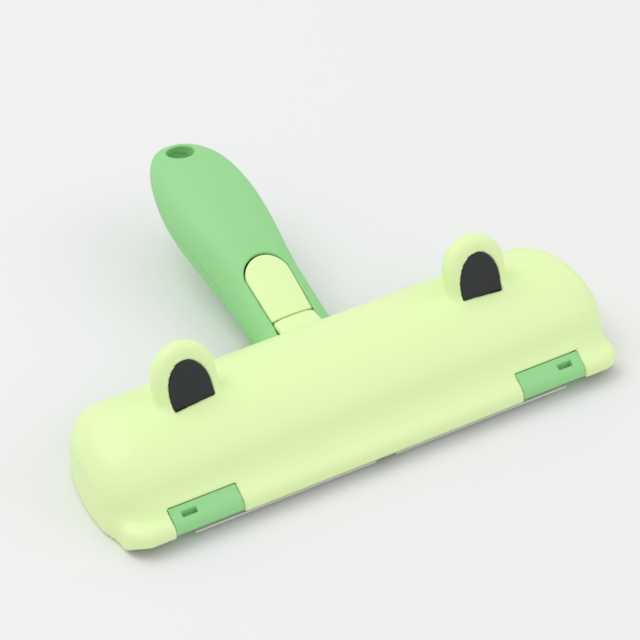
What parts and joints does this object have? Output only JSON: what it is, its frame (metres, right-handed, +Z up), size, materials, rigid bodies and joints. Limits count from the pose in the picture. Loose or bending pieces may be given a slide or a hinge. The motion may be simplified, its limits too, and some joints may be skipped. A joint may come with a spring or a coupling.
{
  "type": "pet hair removal brush",
  "caption": "Rocking pile drum in a flat head under a hinged domed lid with two round ears and dark eyes, on a tilted oval handle with a push button.",
  "frame": {"origin": "on the surface that the brush stands on, below the centre line of the lid's dome, at the middle of the head", "axes": "+X along the head to its right end, +Y to the rear along the handle, +Z up; the hinge tabs and the eyes face -Y"},
  "size_m": [0.191, 0.1581, 0.0496],
  "materials": {
    "lime_plastic": "satin",
    "green_plastic": "matte",
    "eye_black": "matte",
    "drum_plastic": "matte",
    "pile": "short pile",
    "grey_rubber": "matte",
    "steel": "satin"
  },
  "bodies": {
    "frame": {"base_frame": "green_plastic", "handle_base": "green_plastic", "handle_cover": "green_plastic", "button_pin": "steel", "button_spring": "steel", "left_hinge_pin": "steel", "right_hinge_pin": "steel", "left_bearing_cap": "green_plastic", "right_bearing_cap": "green_plastic", "bearing_cap_screws": "steel", "handle_screws": "steel", "neck_screws": "steel", "front_left_strip": "grey_rubber", "front_right_strip": "grey_rubber", "rear_left_strip": "grey_rubber", "rear_right_strip": "grey_rubber"},
    "lid": {"lid": "lime_plastic", "left_eye": "eye_black", "right_eye": "eye_black"},
    "drum": {"drum_core": "drum_plastic", "drum_left_cap": "drum_plastic", "drum_right_cap": "drum_plastic", "front_pile": "pile", "rear_pile": "pile"},
    "button": {"release_button": "lime_plastic"}
  },
  "joints": [
    {"name": "lid_hinge", "type": "hinge", "parent": "frame", "child": "lid", "pos_m": [0, -0.0313, 0.0073], "axis": [1, 0, 0], "range_deg": [0, 90]},
    {"name": "drum_rock", "type": "hinge", "parent": "frame", "child": "drum", "pos_m": [0, 0, 0.0143], "axis": [1, 0, 0], "range_deg": [-30, 30]},
    {"name": "button_press", "type": "hinge", "parent": "frame", "child": "button", "pos_m": [0, 0.03741, 0.01546], "axis": [1, 0, 0], "range_deg": [-5, 0], "stiffness_Nm_per_rad": 0.15, "springref_deg": 5.73, "deforming": ["button_spring"]}
  ]
}
